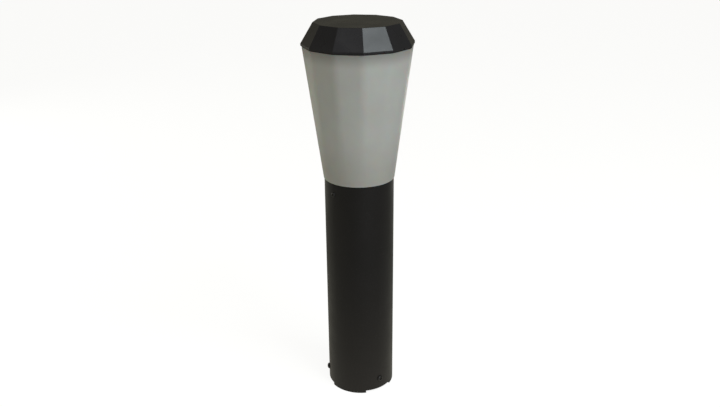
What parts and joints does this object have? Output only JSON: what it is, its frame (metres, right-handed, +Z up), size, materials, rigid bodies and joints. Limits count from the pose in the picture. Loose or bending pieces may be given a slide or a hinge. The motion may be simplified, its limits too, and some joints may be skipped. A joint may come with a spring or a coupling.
{
  "type": "bollard light",
  "caption": "Short round outdoor bollard light with a flared opal diffuser, a faceted cap and a lift-off head over a screw-in lamp.",
  "frame": {"origin": "centre of the base's footprint, on the ground", "axes": "+Z up the post; a facet of the cap faces each of -Y, +X, +Y and -X"},
  "size_m": [0.1622, 0.1622, 0.6025],
  "materials": {
    "black_paint": "satin powder coat",
    "black_cap": "satin powder coat, slightly glossier than the post",
    "opal": "opal polycarbonate, soft satin gloss",
    "black_steel": "black-coated stainless steel",
    "cast_aluminium": "as cast",
    "black_casting": "satin powder coat",
    "rubber_seal": "matt",
    "holder_plastic": "moulded thermoset",
    "brass": "plain",
    "plated_steel": "zinc plated",
    "lamp_cap_metal": "nickel plated",
    "lamp_plastic": "smooth",
    "lamp_opal": "frosted",
    "insulator_black": "vitrified",
    "board_white": "white solder mask",
    "terminal_plastic": "moulded nylon",
    "clamp_plastic": "moulded nylon",
    "wire_brown": "PVC insulation",
    "wire_blue": "PVC insulation",
    "wire_earth": "green and yellow PVC insulation",
    "reflector_white": "matt white"
  },
  "bodies": {
    "post": {"base_flange": "black_casting", "post_tube": "black_paint", "base_screws": "black_steel", "lamp_carrier": "cast_aluminium", "lead_grommet": "rubber_seal", "lampholder_body": "holder_plastic", "lampholder_shell": "brass", "lampholder_contact": "brass", "lampholder_screws": "plated_steel", "gear_tray": "plated_steel", "tray_screws": "plated_steel", "terminal_block": "terminal_plastic", "terminal_clamps": "brass", "terminal_screws": "plated_steel", "terminal_block_screws": "plated_steel", "cable_clamp": "clamp_plastic", "cable_clamp_screws": "plated_steel", "earth_screw": "brass", "earth_tag": "plated_steel", "lead_live": "wire_brown", "lead_neutral": "wire_blue", "lead_earth": "wire_earth", "post_gasket": "rubber_seal"},
    "head": {"diffuser": "opal", "cap_gasket": "rubber_seal", "cap": "black_cap", "reflector": "reflector_white", "reflector_screws": "plated_steel"},
    "head_screw_a": {"head_screw_a": "black_steel"},
    "head_screw_b": {"head_screw_b": "black_steel"},
    "lamp_tip": {"lamp_contact": "lamp_cap_metal"},
    "lamp": {"lamp_insulator": "insulator_black", "lamp_shell": "lamp_cap_metal", "lamp_housing": "lamp_plastic", "lamp_led_board": "board_white", "lamp_ball": "lamp_opal"}
  },
  "joints": [
    {"name": "head_lift", "type": "slide", "parent": "post", "child": "head", "axis": [0, 0, 1], "range_m": [0, 0.16]},
    {"name": "head_screw_a_back_out", "type": "slide", "parent": "post", "child": "head_screw_a", "axis": [-0.6157, -0.788, 0], "range_m": [0, 0.004]},
    {"name": "head_screw_b_back_out", "type": "slide", "parent": "post", "child": "head_screw_b", "axis": [0.6157, 0.788, 0], "range_m": [0, 0.004]},
    {"name": "lamp_rise", "type": "slide", "parent": "post", "child": "lamp_tip", "axis": [0, 0, 1], "range_m": [0, 0.0182]},
    {"name": "lamp_turn", "type": "hinge", "parent": "lamp_tip", "child": "lamp", "pos_m": [0, 0, 0.36], "axis": [0, 0, 1], "range_deg": [0, 1800]}
  ],
  "couplings": [
    {"joint": "lamp_rise", "follows": "lamp_turn", "m_per_rad": 0.00057757}
  ]
}
